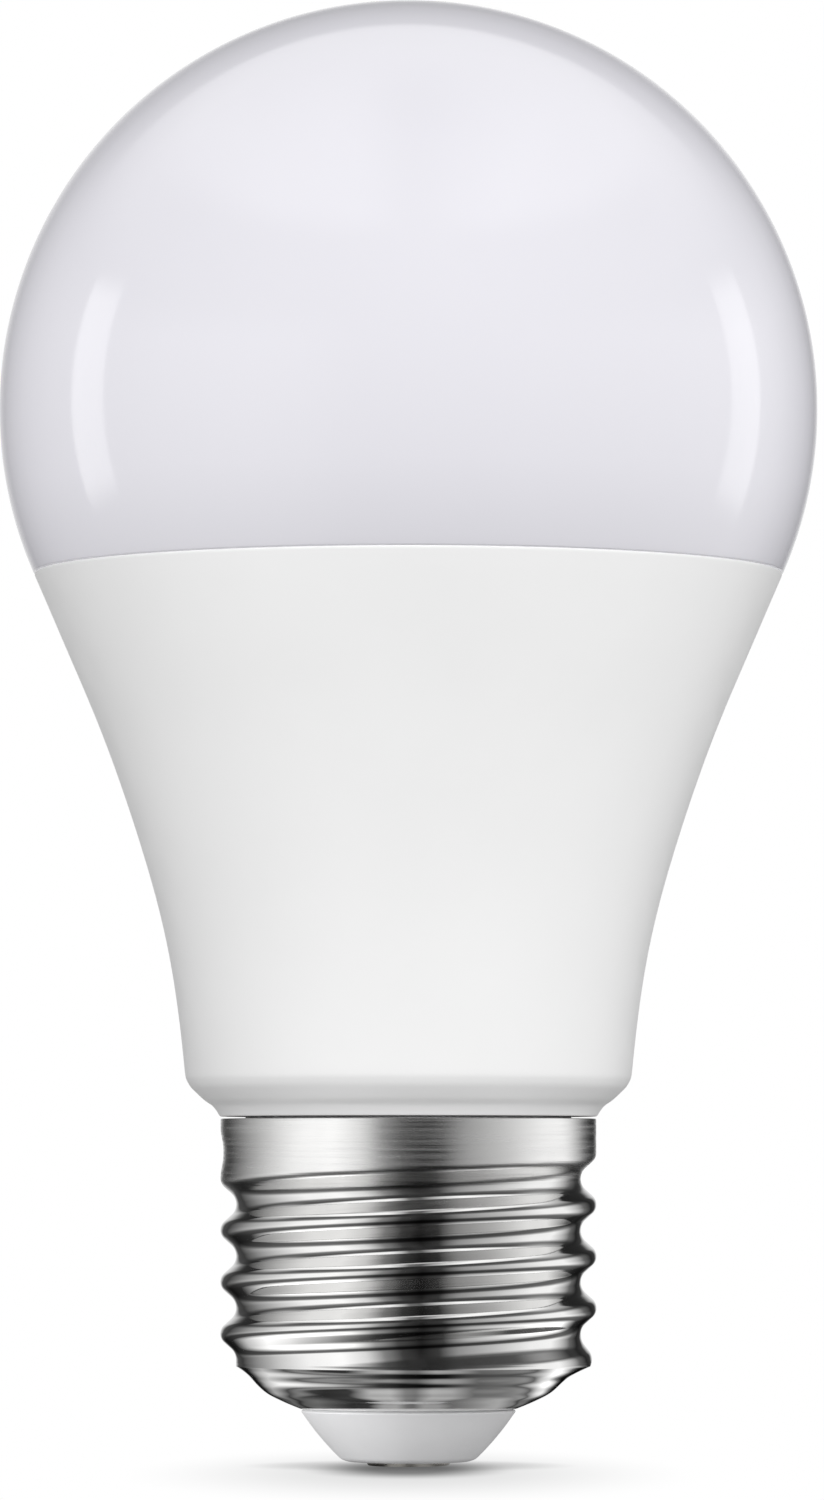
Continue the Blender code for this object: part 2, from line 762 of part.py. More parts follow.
def make_choke():
    x, y = 0.5, BACK_Y - 3.1
    core = [
        (0, 28.6),
        (3.0, 28.6),
        (3.0, 27.6),
        (1.4, 27.6),
        (1.4, 22.0),
        (3.0, 22.0),
        (3.0, 21.0),
        (0, 21.0),
    ]
    made = turned("choke_core", core, "ferrite", segments=24)
    made.location = (x * MM, y * MM, 0)
    coil = [(2.75, 27.3), (2.75, 22.3), (1.7, 22.3), (1.7, 27.3)]
    made = turned("choke_winding", coil, "enamelled_copper", segments=24, loop=True)
    made.location = (x * MM, y * MM, 0)


def make_small_components():
    box("film_capacitor", (9.6, 4.0, 7.0), (0, BACK_Y - 2.0, 33.4), "film_case", bevel=0.4)
    rod("varistor", 3.5, 2.8, (3.4, BACK_Y - 1.4, 15.6), "varistor_epoxy", axis="Y", bevel=0.7)
    resistor = [
        (0, 19.0),
        (1.1, 19.0),
        (1.4, 18.6),
        (1.4, 17.2),
        (1.2, 16.9),
        (1.2, 14.1),
        (1.4, 13.8),
        (1.4, 12.4),
        (1.1, 12.0),
        (0, 12.0),
    ]
    made = turned("fusible_resistor", resistor, "resistor_lacquer", segments=20)
    made.location = (-4.2 * MM, (BACK_Y - 1.5) * MM, 0)
    box("bridge_rectifier", (4.7, 1.6, 4.0), (-6.0, BACK_Y - 0.8, 42.5), "chip_epoxy", bevel=0.15)
    box("driver_chip", (4.9, 1.5, 3.9), (-6.0, BACK_Y - 0.75, 49.5), "chip_epoxy", bevel=0.15)


def make_leads():
    resistor_y = BACK_Y - 1.5
    live = [
        (0, 0, FLANGE_TOP_Z + GAP + 0.2),
        (-0.6, -1.2, 7.3),
        (-2.6, -3.8, 8.0),
        (-4.2, resistor_y, 9.9),
        (-4.2, resistor_y, 11.6),
    ]
    wire("live_lead", smooth_path(live), 0.6, "live_insulation")
    groove_x = (WIRE_GROOVE_R + NECK_R) / 2 + 0.13
    neutral = [
        (5.6, BACK_Y - 0.4, 11.2),
        (5.8, BACK_Y - 0.6, 8.6),
        (7.6, -2.0, 6.95),
        (9.6, -0.5, 6.75),
        (groove_x - 0.25, 0, 7.15),
        (groove_x, 0, 8.4),
        (groove_x, 0, 19.0),
    ]
    wire("neutral_lead", smooth_path(neutral), 0.33, "tinned_copper")


make_diffuser()
make_adhesive()
make_housing()
make_cap_shell()
make_insulator()
make_contact()
make_cup()
make_pad()
make_led_board()
make_screws()
make_leds()
make_led_connection()
make_wireless_module()
make_sleeve()
make_driver_board()
make_can_capacitor("input_capacitor", 5.0, 11.0, 30.0, 0, FRONT_Y + 5.0)
make_can_capacitor("output_capacitor", 4.0, 40.0, 52.0, 4.6, BACK_Y - 4.0)
make_transformer()
make_choke()
make_small_components()
make_leads()
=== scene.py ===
import math

import bpy
import numpy as np
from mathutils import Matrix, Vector


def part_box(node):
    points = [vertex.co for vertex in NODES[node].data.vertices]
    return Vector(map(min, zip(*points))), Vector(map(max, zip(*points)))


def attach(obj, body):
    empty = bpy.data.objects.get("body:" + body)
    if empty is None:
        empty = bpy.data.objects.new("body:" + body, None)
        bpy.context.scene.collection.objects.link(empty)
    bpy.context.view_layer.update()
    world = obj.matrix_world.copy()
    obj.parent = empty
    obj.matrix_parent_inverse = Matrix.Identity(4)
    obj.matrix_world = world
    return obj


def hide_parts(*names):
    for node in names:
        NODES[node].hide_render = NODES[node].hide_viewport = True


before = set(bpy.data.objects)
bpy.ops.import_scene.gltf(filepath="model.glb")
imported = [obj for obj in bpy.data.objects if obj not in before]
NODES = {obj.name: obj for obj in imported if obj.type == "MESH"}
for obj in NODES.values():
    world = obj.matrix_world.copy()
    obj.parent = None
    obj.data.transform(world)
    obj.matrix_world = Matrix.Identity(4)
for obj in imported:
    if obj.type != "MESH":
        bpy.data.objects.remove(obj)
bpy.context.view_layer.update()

MM = 0.001
FULL_TURN = 2 * math.pi

# --- Camera --------------------------------------------------------------------------------------

CAMERA_DISTANCE = 0.563
CAMERA_HEIGHT = 0.0207
CAMERA_SIDE = 0.00025
CAMERA_PITCH = math.radians(3.005)
CAMERA_LENS = 192.0


def make_camera():
    data = bpy.data.cameras.new("camera")
    data.lens = CAMERA_LENS
    data.clip_start = 0.01
    data.clip_end = 50.0
    camera = bpy.data.objects.new("camera", data)
    camera.location = (CAMERA_SIDE, -CAMERA_DISTANCE, CAMERA_HEIGHT)
    camera.rotation_euler = (math.pi / 2 + CAMERA_PITCH, 0, 0)
    bpy.context.scene.collection.objects.link(camera)
    bpy.context.scene.camera = camera


make_camera()

# --- Sizes, in millimetres -----------------------------------------------------------------------

GLOBE_R = 28.85
GLOBE_Z = 74.3
GLOBE_WALL = 1.2
GLOBE_EDGE_Z = 62.72
SPIGOT_R = 23.9
SPIGOT_WALL = 1.15
SPIGOT_BOTTOM_Z = 60.4

HOUSING_OUTLINE = (
    (26.36, 62.62),
    (25.20, 59.9),
    (23.65, 56.3),
    (21.95, 52.4),
    (20.30, 48.0),
    (18.75, 43.3),
    (17.50, 39.0),
    (16.60, 34.8),
    (16.02, 30.6),
    (15.72, 27.6),
)
HOUSING_WALL = 1.7

# The cap is turned at the root radius; the thread stands over it.
THREAD_CREST_R = 13.2
THREAD_ROOT_R = 12.1
THREAD_PITCH = 25.4 / 7
FLANK_ANGLE = math.radians(48)
CREST_ARC_R = 0.80
ROOT_ARC_R = 1.05
THREAD_START_ANGLE = math.radians(14)
GROOVE_FULL_Z = 20.4
GROOVE_END_Z = 22.5
THREAD_TOP_Z = 23.9
RIDGE_FULL_Z = 8.4
RIDGE_END_Z = 5.6
COLLAR_TOP_Z = 24.3
DOME_TOP_Z = 6.95
SHEET = 0.3

# --- Mesh helpers --------------------------------------------------------------------------------

SHARP_ANGLE = math.radians(40)
SIDE_SHARE = 0.45


def new_object(name, data):
    obj = bpy.data.objects.new(name, data)
    bpy.context.scene.collection.objects.link(obj)
    return obj


def turned_grid(name, outline, segments, displace=None):
    """A turned mesh from an outline of (radius, height) in millimetres.

    The outline goes down the outer side and up the inner one. It closes on itself unless it starts and
    ends on the axis, where points become poles. displace(radius, height, angle) gives the new radius.
    """
    rings = []
    vertices = []
    for radius, height in outline:
        if radius < 1e-6:
            rings.append([len(vertices)])
            vertices.append((0.0, 0.0, height * MM))
            continue
        start = len(vertices)
        for i in range(segments):
            angle = FULL_TURN * i / segments
            r = displace(radius, height, angle) if displace else radius
            vertices.append((r * math.cos(angle) * MM, r * math.sin(angle) * MM, height * MM))
        rings.append(list(range(start, start + segments)))
    faces = []
    pairs = list(zip(rings, rings[1:]))
    if len(rings[0]) > 1 and len(rings[-1]) > 1:
        pairs.append((rings[-1], rings[0]))
    for upper, lower in pairs:
        for i in range(segments):
            j = (i + 1) % segments
            if len(upper) == 1:
                faces.append((upper[0], lower[i], lower[j]))
            elif len(lower) == 1:
                faces.append((upper[i], lower[0], upper[j]))
            else:
                faces.append((upper[i], lower[i], lower[j], upper[j]))
    mesh = bpy.data.meshes.new(name)
    mesh.from_pydata(vertices, [], faces)
    mesh.validate()
    obj = new_object(name, mesh)
    mesh.shade_smooth()
    mesh.set_sharp_from_angle(angle=SHARP_ANGLE)
    return obj


def smooth_outline(points, steps=8):
    """Points of a cubic B-spline held to the first and last of the given (radius, height) points."""
    ends = [np.array(p, float) for p in points]
    ends = [2 * ends[0] - ends[1], *ends, 2 * ends[-1] - ends[-2]]
    path = []
    for a, b, c, d in zip(ends, ends[1:], ends[2:], ends[3:]):
        for i in range(steps):
            t = i / steps
            weights = ((1 - t) ** 3, 3 * t**3 - 6 * t**2 + 4, -3 * t**3 + 3 * t**2 + 3 * t + 1, t**3)
            point = sum(weight * p for weight, p in zip(weights, (a, b, c, d))) / 6
            path.append(tuple(point))
    path.append(tuple(ends[-2]))
    return path


def rounded_outline(points, radius, steps=4):
    """The outline with its corners rounded, each by up to this much or by its own third number.

    The first and last points stay. A corner takes up no more than SIDE_SHARE of either side.
    """
    result = []
    for i, point in enumerate(points):
        here = np.array(point[:2], float)
        corner = point[2] if len(point) > 2 else radius
        if i in (0, len(points) - 1) or corner <= 0:
            result.append(tuple(here))
            continue
        before = np.array(points[i - 1][:2], float) - here
        after = np.array(points[i + 1][:2], float) - here
        before_length = np.linalg.norm(before)
        after_length = np.linalg.norm(after)
        cut = min(corner, SIDE_SHARE * before_length, SIDE_SHARE * after_length)
        a = here + before / before_length * cut
        b = here + after / after_length * cut
        for k in range(steps + 1):
            t = k / steps
            result.append(tuple((1 - t) ** 2 * a + 2 * t * (1 - t) * here + t * t * b))
    return result


def globe_arc(radius, end_z, count):
    """Outline points on a sphere round the globe's centre, from its top down to this height."""
    end = math.acos((end_z - GLOBE_Z) / radius)
    angles = [end * i / count for i in range(count + 1)]
    return [(radius * math.sin(angle), GLOBE_Z + radius * math.cos(angle)) for angle in angles]


# --- Node helpers --------------------------------------------------------------------------------

# Places of a colour mix's sockets, which come after those for other kinds of data.
MIX_FACTOR = 0
MIX_FIRST = 6
MIX_SECOND = 7
MIX_COLOUR = 2

WAVE_PERIOD = math.pi / 10  # of a wave texture at scale 1
WHITE = (1.0, 1.0, 1.0)

# How a finish shows its edges and varies its gloss.
EDGE_SAMPLES = 4
EDGE_DOT = (0.80, 0.98)  # of the rounded and the flat normal, on an edge and on a flat
RUB_MM = 0.8
GLOSS_MM = 3.0
GLOSS_VARIATION = 0.15


class Nodes:
    """Short calls that add nodes to one tree, each giving an output.

    Where a method takes an output, a number, a grey or a colour can stand in for it.
    """

    def __init__(self, tree):
        self.tree = tree

    def node(self, kind, **values):
        node = self.tree.nodes.new(kind)
        for key, value in values.items():
            setattr(node, key, value)
        return node

    def link(self, output, socket):
        self.tree.links.new(output, socket)

    def feed(self, socket, value):
        if isinstance(value, bpy.types.NodeSocket):
            self.link(value, socket)
        elif isinstance(value, tuple):
            socket.default_value = (*value, 1.0)
        elif socket.type == "RGBA":
            socket.default_value = (value, value, value, 1.0)
        else:
            socket.default_value = value

    def math(self, operation, first, second):
        node = self.node("ShaderNodeMath", operation=operation)
        self.feed(node.inputs[0], first)
        self.feed(node.inputs[1], second)
        return node.outputs["Value"]

    def product(self, first, second):
        return self.math("MULTIPLY", first, second)

    def absolute(self, value):
        return self.math("ABSOLUTE", value, 0.0)

    def mix(self, factor, first, second, **values):
        """Colour mix: first at factor 0, second at factor 1."""
        node = self.node("ShaderNodeMix", data_type="RGBA", **values)
        self.feed(node.inputs[MIX_FACTOR], factor)
        self.feed(node.inputs[MIX_FIRST], first)
        self.feed(node.inputs[MIX_SECOND], second)
        return node.outputs[MIX_COLOUR]

    def multiplied(self, first, second):
        """Product of two colours."""
        return self.mix(1.0, first, second, blend_type="MULTIPLY")

    def remap(self, value, low, high, start=0.3, end=0.7, **values):
        """low at the value start and high at the value end, straight between and held beyond them.

        Without start and end it spreads a noise, whose values lie round a half.
        """
        node = self.node("ShaderNodeMapRange", **values)
        node.inputs["From Min"].default_value = start
        node.inputs["From Max"].default_value = end
        node.inputs["To Min"].default_value = low
        node.inputs["To Max"].default_value = high
        self.link(value, node.inputs["Value"])
        return node.outputs["Result"]

    def between(self, value, start, end):
        """0 at the value start and 1 at the value end, smooth between and held beyond them."""
        return self.remap(value, 0.0, 1.0, start, end, interpolation_type="SMOOTHSTEP")

    def gradient(self, value, stops, start=0.0, end=1.0):
        """Grey from (position, grey) stops, for a value of 0 at position start and 1 at position end."""
        node = self.node("ShaderNodeValToRGB")
        elements = node.color_ramp.elements
        elements.remove(elements[-1])
        for number, (position, grey) in enumerate(stops):
            share = (position - start) / (end - start)
            if number:
                element = elements.new(share)
            else:
                element = elements[0]
                element.position = share
            element.color = (grey, grey, grey, 1.0)
        self.link(value, node.inputs["Fac"])
        return node.outputs["Color"]

    def by_azimuth(self, share, stops):
        """Grey from (degrees, grey) stops, for an azimuth as azimuth() gives it."""
        return self.gradient(share, stops, -180, 180)

    def by_component(self, component, stops):
        """Grey from (component, grey) stops, for one component of a unit direction."""
        return self.gradient(self.remap(component, 0.0, 1.0, -1.0, 1.0), stops, -1, 1)

    def split(self, vector):
        """The vector's X, Y and Z."""
        node = self.node("ShaderNodeSeparateXYZ")
        self.link(vector, node.inputs["Vector"])
        return node.outputs["X"], node.outputs["Y"], node.outputs["Z"]

    def length(self, vector):
        node = self.node("ShaderNodeVectorMath", operation="LENGTH")
        self.link(vector, node.inputs[0])
        return node.outputs["Value"]

    def azimuth(self, side, back):
        """Azimuth of a direction as 0 to 1: 0.5 towards the camera's side, rising to the right."""
        turn = self.math("ARCTAN2", side, self.product(back, -1.0))
        return self.remap(turn, 0.0, 1.0, -math.pi, math.pi)


class Material(Nodes):
    """A node material in object coordinates, built up from small calls."""

    def __init__(self, name, colour, roughness, metallic=0.0, **sockets):
        self.made = bpy.data.materials.new(name)
        self.made.use_nodes = True
        super().__init__(self.made.node_tree)
        self.shader = self.tree.nodes["Principled BSDF"]
        self.shader.inputs["Base Color"].default_value = (*colour, 1.0)
        self.shader.inputs["Roughness"].default_value = roughness
        self.shader.inputs["Metallic"].default_value = metallic
        for key, value in sockets.items():
            self.shader.inputs[key.replace("_", " ")].default_value = value
        self.roughness = roughness

    def coordinates(self, scale=(1.0, 1.0, 1.0)):
        place = self.node("ShaderNodeTexCoord")
        mapping = self.node("ShaderNodeMapping")
        mapping.inputs["Scale"].default_value = scale
        self.link(place.outputs["Object"], mapping.inputs["Vector"])
        return mapping.outputs["Vector"]

    def noise(self, size_mm, detail=3.0, stretch=(1.0, 1.0, 1.0), roughness=0.5):
        """Noise whose features are about this many millimetres across."""
        node = self.node("ShaderNodeTexNoise")
        node.inputs["Scale"].default_value = 1000.0 / size_mm
        node.inputs["Detail"].default_value = detail
        node.inputs["Roughness"].default_value = roughness
        self.link(self.coordinates(stretch), node.inputs["Vector"])
        return node.outputs["Fac"]

    def base(self, colour):
        self.link(colour, self.shader.inputs["Base Color"])

    def rough(self, value):
        self.link(value, self.shader.inputs["Roughness"])

    def bump(self, height, depth_mm, strength=1.0, after=None):
        """Bump whose full height is this many millimetres."""
        node = self.node("ShaderNodeBump")
        node.inputs["Strength"].default_value = strength
        node.inputs["Distance"].default_value = depth_mm * MM
        self.link(height, node.inputs["Height"])
        if after is not None:
            self.link(after, node.inputs["Normal"])
        self.link(node.outputs["Normal"], self.shader.inputs["Normal"])
        return node.outputs["Normal"]

    def axes(self, origin_mm=(0.0, 0.0, 0.0), turn=0.0):
        """Coordinates in metres about this point, turned by this angle about the vertical."""
        place = self.node("ShaderNodeTexCoord")
        mapping = self.node("ShaderNodeMapping", vector_type="TEXTURE")
        mapping.inputs["Location"].default_value = [value * MM for value in origin_mm]
        mapping.inputs["Rotation"].default_value = (0.0, 0.0, turn)
        self.link(place.outputs["Object"], mapping.inputs["Vector"])
        return self.split(mapping.outputs["Vector"])

    def height(self):
        """Height in metres."""
        return self.axes()[2]

    def radius(self, across, along):
        """Distance from the axis, from two coordinates."""
        squares = self.math("ADD", self.product(across, across), self.product(along, along))
        return self.math("POWER", squares, 0.5)

    def above(self, value, level_mm, soft_mm=0.03):
        """1 above this level, 0 below it."""
        return self.remap(value, 0.0, 1.0, (level_mm - soft_mm) * MM, (level_mm + soft_mm) * MM)

    def below(self, value, level_mm, soft_mm=0.03):
        """1 below this level, 0 above it."""
        return self.remap(value, 1.0, 0.0, (level_mm - soft_mm) * MM, (level_mm + soft_mm) * MM)

    def band(self, value, low_mm, high_mm):
        """1 between two levels."""
        return self.product(self.above(value, low_mm), self.below(value, high_mm))

    def line(self, value, middle_mm, half_width_mm):
        """1 on a line of this half width."""
        return self.band(value, middle_mm - half_width_mm, middle_mm + half_width_mm)

    def threads(self, pitch_mm, direction, distortion=0.0):
        """Rounded bands of this pitch, such as turns of wire or the threads of a weave."""
        wave = self.node("ShaderNodeTexWave", wave_type="BANDS", bands_direction=direction)
        wave.inputs["Scale"].default_value = WAVE_PERIOD / (pitch_mm * MM)
        wave.inputs["Distortion"].default_value = distortion
        wave.inputs["Detail Scale"].default_value = 1.0
        self.link(self.coordinates(), wave.inputs["Vector"])
        return wave.outputs["Fac"]

    def shades(self, colour, low, high, size_mm, detail=4.0):
        """The colour, drifting between these two shares of its brightness."""
        broad = self.remap(self.noise(size_mm, detail), 0.0, 1.0)
        return self.mix(broad, shade(colour, low), shade(colour, high))

    def mottled(self, colour, variation, size_mm=9.0):
        return self.shades(colour, 1 - variation, 1 + variation, size_mm)

    def edges(self, radius_mm):
        """(1 near sharp edges and 0 on flats, the normal rounded over them)."""
        rounded = self.node("ShaderNodeBevel", samples=EDGE_SAMPLES)
        rounded.inputs["Radius"].default_value = radius_mm * MM
        flat = self.node("ShaderNodeNewGeometry")
        dot = self.node("ShaderNodeVectorMath", operation="DOT_PRODUCT")
        self.link(rounded.outputs["Normal"], dot.inputs[0])
        self.link(flat.outputs["Normal"], dot.inputs[1])
        return self.remap(dot.outputs["Value"], 1.0, 0.0, *EDGE_DOT), rounded.outputs["Normal"]

    def finish(self, tone, grain, depth_mm, wear=0.15, edge_mm=0.12):
        """Colour with rubbed edges, uneven gloss, and the grain over softened edges."""
        edge, rounded = self.edges(edge_mm)
        rubbed = self.product(edge, self.remap(self.noise(RUB_MM, detail=5.0), 0.0, 1.0))
        self.base(self.mix(rubbed, tone, self.mix(wear, tone, WHITE)))
        smooth = self.roughness * (1 - GLOSS_VARIATION)
        dull = min(self.roughness * (1 + GLOSS_VARIATION), 1.0)
        self.rough(self.remap(self.noise(GLOSS_MM, detail=5.0), smooth, dull))
        self.bump(grain, depth_mm, after=rounded)
        return self.made


def shade(colour, factor):
    return tuple(min(channel * factor, 1.0) for channel in colour)


def paint(obj, material):
    """Gives a new mesh its one material."""
    obj.data.materials.clear()
    obj.data.materials.append(material)


def paint_node(obj, material):
    """Repaints a CAD node, which keeps its slots."""
    for material_slot in obj.material_slots:
        material_slot.material = material


# --- Globe ---------------------------------------------------------------------------------------

SEAM_SHADE = 0.94
SEAM_SHADE_FULL_Z = 62.5
SEAM_SHADE_END_Z = 68.5


def opal_plastic():
    """Glossy opal, a little darker towards the seam, where less light comes through."""
    colour = (0.733, 0.725, 0.772)
    darker = shade(colour, SEAM_SHADE)
    m = Material("opal_plastic", colour, 0.08, Specular_IOR_Level=0.36)
    near_seam = m.remap(m.height(), 1.0, 0.0, SEAM_SHADE_FULL_Z * MM, SEAM_SHADE_END_Z * MM)
    shadowed = m.mix(near_seam, colour, darker)
    m.base(m.mix(m.remap(m.noise(14.0), 0.0, 0.04), shadowed, darker))
    m.rough(m.remap(m.noise(2.5, detail=4.0), 0.07, 0.10))
    return m.made


def make_globe():
    """Shell from the top down the outside, under the edge, round the spigot and up the inside."""
    spigot_inner_r = SPIGOT_R - SPIGOT_WALL
    outer = globe_arc(GLOBE_R, GLOBE_EDGE_Z + 0.10, 96)
    edge_r = outer[-1][0]
    lip = [(edge_r - 0.04, GLOBE_EDGE_Z + 0.03), (edge_r - 0.10, GLOBE_EDGE_Z)]
    spigot = rounded_outline(
        [
            (edge_r - 0.3, GLOBE_EDGE_Z),
            (SPIGOT_R, GLOBE_EDGE_Z),
            (SPIGOT_R, SPIGOT_BOTTOM_Z),
            (spigot_inner_r, SPIGOT_BOTTOM_Z),
            (spigot_inner_r, 63.2),
            (25.6, 64.6),
        ],
        0.3,
    )
    inner = globe_arc(GLOBE_R - GLOBE_WALL, 64.9, 64)
    globe = turned_grid("globe", outer + lip + spigot + inner[::-1], segments=192)
    paint(globe, opal_plastic())
    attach(globe, "root")
    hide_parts("diffuser")
    return globe


# --- Housing -------------------------------------------------------------------------------------

def white_plastic():
    colour = (0.875, 0.875, 0.875)
    m = Material("white_plastic", colour, 0.42, Specular_IOR_Level=0.5)
    m.base(m.shades(colour, 0.985, 1.01, 12.0, detail=3.0))
    m.rough(m.remap(m.noise(2.0, detail=5.0), 0.38, 0.46))
    m.bump(m.noise(0.4, detail=2.0), 0.004)
    return m.made


def make_body():
    """Shell from the globe's groove over the rim, down to the neck, up inside it and back to the groove."""
    outer = smooth_outline(HOUSING_OUTLINE)
    under_rim = 5  # the rim is rounded down to this point
    rim = rounded_outline(
        [(24.2, 59.2), (24.2, 62.71, 0.1), (26.42, 62.71, 0.3), outer[under_rim]], 0.3, steps=8
    )
    foot = rounded_outline(
        [
            outer[-1],
            (15.66, 27.15),
            (15.36, 26.55, 0.35),
            (14.35, 25.58, 0.3),
            (13.75, 25.2, 0.3),
            (13.42, 24.75, 0.2),
            (13.25, 24.45, 0.1),
            (11.45, 24.45, 0.1),
            (11.45, 7.5, 0.3),
            (9.8, 7.5, 0.3),
            (9.8, 27.4, 0.8),
            (14.7, 34.0, 0.8),
        ],
        0.3,
    )
    inner = [(r - HOUSING_WALL, z) for r, z in outer if 35.0 < z < 58.6]
    pocket = [(22.8, 59.2), (24.2, 59.2)]
    outline = rim[1:-1] + outer[under_rim + 1 :] + foot[1:] + inner[::-1] + pocket
    body = turned_grid("body", outline, segments=192)
    paint(body, white_plastic())
    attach(body, "root")
    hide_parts("housing")
    return body


# --- Screw cap -----------------------------------------------------------------------------------

def ramp(value, start, end):
    """0 at the value start and 1 at the value end, smooth between and held beyond them."""
    t = min(max((value - start) / (end - start), 0), 1)
    return t * t * (3 - 2 * t)


def thread_wave(turns):
    """The thread's section, 1 on a crest and 0 in a root: a crest arc, a flank and a wider root arc."""
    depth = THREAD_CREST_R - THREAD_ROOT_R
    along = abs(turns - round(turns)) * THREAD_PITCH
    half = THREAD_PITCH / 2
    slope = math.tan(FLANK_ANGLE)
    crest_end = CREST_ARC_R * math.sin(FLANK_ANGLE)
    root_start = half - ROOT_ARC_R * math.sin(FLANK_ANGLE)
    if along <= crest_end:
        return 1 - (CREST_ARC_R - math.sqrt(CREST_ARC_R**2 - along**2)) / depth
    if along >= root_start:
        return (ROOT_ARC_R - math.sqrt(ROOT_ARC_R**2 - (half - along) ** 2)) / depth
    return 1 - (CREST_ARC_R * (1 - math.cos(FLANK_ANGLE)) + (along - crest_end) * slope) / depth


def thread_height(height, angle):
    """Height of the thread over its root.

    At the ends each ridge and groove fades by the height of its own centre line.
    """
    lead = (angle + THREAD_START_ANGLE) / FULL_TURN
    turns = height / THREAD_PITCH - lead
    ridge_centre = (round(turns) + lead) * THREAD_PITCH
    groove_centre = (math.floor(turns) + 0.5 + lead) * THREAD_PITCH
    ridge = thread_wave(turns) * ramp(ridge_centre, RIDGE_END_Z, RIDGE_FULL_Z)
    groove = 1 - ramp(groove_centre, GROOVE_FULL_Z, GROOVE_END_Z)
    return (THREAD_CREST_R - THREAD_ROOT_R) * (1 - (1 - ridge) * groove)


BRUSHED_START_Z = 18.8
BRUSHED_FULL_Z = 20.0
SPUN_BELOW_Z = 6.9


def nickel_plate():
    """Plate that is brushed round the collar, polished on the thread and spun under it."""
    colour = (0.82, 0.817, 0.81)
    m = Material("nickel_plate", colour, 0.2, 1.0)
    brushed = m.noise(0.25, detail=4.0, stretch=(0.02, 0.02, 1.0), roughness=0.6)
    on_collar = m.remap(m.height(), 0.0, 1.0, BRUSHED_START_Z * MM, BRUSHED_FULL_Z * MM)
    m.base(m.shades(colour, 0.97, 1.02, 4.0))
    polished = m.remap(m.noise(1.2, detail=4.0), 0.04, 0.08)
    satin = m.remap(brushed, 0.10, 0.32)
    off_collar = m.math("SUBTRACT", 1.0, on_collar)
    m.rough(m.math("ADD", m.product(on_collar, satin), m.product(off_collar, polished)))
    grooves = m.product(m.remap(brushed, 0.0, 1.0), on_collar)
    brushing = m.bump(grooves, 0.012, strength=0.8)
    spun = m.product(m.threads(0.75, "Z", 0.2), m.below(m.height(), SPUN_BELOW_Z, 0.3))
    m.bump(spun, 0.04, after=brushing)
    return m.made


THREAD_LEVELS = 400
INNER_STEP = 3


def make_cap():
    """Shell from the lip down the thread and the dome, round the rolled edge and up the inside.

    The inside takes every third point of the outside, one sheet further in along its own normal.
    """
    step = (THREAD_TOP_Z - DOME_TOP_Z) / THREAD_LEVELS
    lip = [
        (THREAD_ROOT_R - SHEET / 2, COLLAR_TOP_Z),
        (THREAD_ROOT_R, COLLAR_TOP_Z),
        (THREAD_ROOT_R, THREAD_TOP_Z),
    ]
    outer = rounded_outline(lip, 0.12)
    lip_end = len(outer) - 1
    outer += [(THREAD_ROOT_R, THREAD_TOP_Z - step * i) for i in range(1, THREAD_LEVELS + 1)]
    dome = smooth_outline(
        [
            (THREAD_ROOT_R, DOME_TOP_Z),
            (11.45, 6.55),
            (11.02, 6.10),
            (10.50, 5.50),
            (9.85, 4.95),
            (8.60, 4.38),
            (7.65, 4.00),
        ]
    )
    outer += dome[1:]
    rolled = [(7.5, 3.98), (7.42, 4.05), (7.42, 4.2), (7.5, 4.3)]
    inner = [(THREAD_ROOT_R - SHEET, COLLAR_TOP_Z)]
    for i in range(lip_end, len(outer) - 2, INNER_STEP):
        (radius, height), before, after = outer[i], outer[i - 1], outer[i + 1]
        run = Vector((after[0] - before[0], after[1] - before[1])).normalized()
        inner.append((radius + run.y * SHEET, height - run.x * SHEET))
    cap = turned_grid(
        "screw_cap",
        outer + rolled + inner[::-1],
        segments=288,
        displace=lambda radius, height, angle: radius + thread_height(height, angle),
    )
    paint(cap, nickel_plate())
    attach(cap, "root")
    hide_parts("cap_shell")


def insulator_plastic():
    colour = (0.82, 0.82, 0.83)
    m = Material("insulator_plastic", colour, 0.45)
    m.base(m.mottled(colour, 0.03, 5.0))
    m.rough(m.remap(m.noise(1.0, detail=4.0), 0.4, 0.5))
    m.bump(m.noise(0.3, detail=2.0), 0.004)
    return m.made


def make_insulator():
    """Disc above the dome's opening, with the cone hanging through it and a hole for the contact."""
    upper = [(1.3, 6.2), (8.8, 6.2), (8.8, 5.1), (7.2, 5.1), (7.2, 4.3), (7.3, 4.0)]
    lower = rounded_outline(
        [
            (7.3, 4.0),
            (7.55, 3.82, 0.1),
            (6.81, 2.78, 0.8),
            (6.14, 1.94, 0.8),
            (5.37, 1.08, 0.6),
            (4.70, 0.42, 0.3),
            (4.15, 0.27, 0.15),
            (3.3, 0.27, 0.08),
            (3.3, 0.85, 0.05),
            (1.3, 0.85, 0.05),
            (1.3, 6.2, 0.0),
        ],
        0.2,
        steps=6,
    )
    insulator = turned_grid("insulator", upper + lower[1:-1], segments=128)
    paint(insulator, insulator_plastic())
    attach(insulator, "root")
    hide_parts("cap_insulator")
    return insulator


def contact_metal():
    m = Material("contact_metal", (0.70, 0.68, 0.63), 0.3, 1.0)
    tarnish = m.remap(m.noise(2.0, detail=4.0), 0.0, 1.0)
    m.base(m.mix(tarnish, (0.62, 0.60, 0.55), (0.74, 0.72, 0.68)))
    m.rough(m.remap(m.noise(0.5, detail=5.0), 0.22, 0.42))
    m.bump(m.noise(0.2), 0.004)
    return m.made


def make_contact():
    """Solid button on a stem."""
    outline = rounded_outline(
        [(0, 6.2), (1.0, 6.2), (1.0, 0.55), (2.9, 0.55), (2.9, 0.0, 0.2), (0, 0.0)],
        0.12,
        steps=5,
    )
    contact = turned_grid("contact", outline, segments=96)
    paint(contact, contact_metal())
    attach(contact, "root")
    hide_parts("centre_contact")


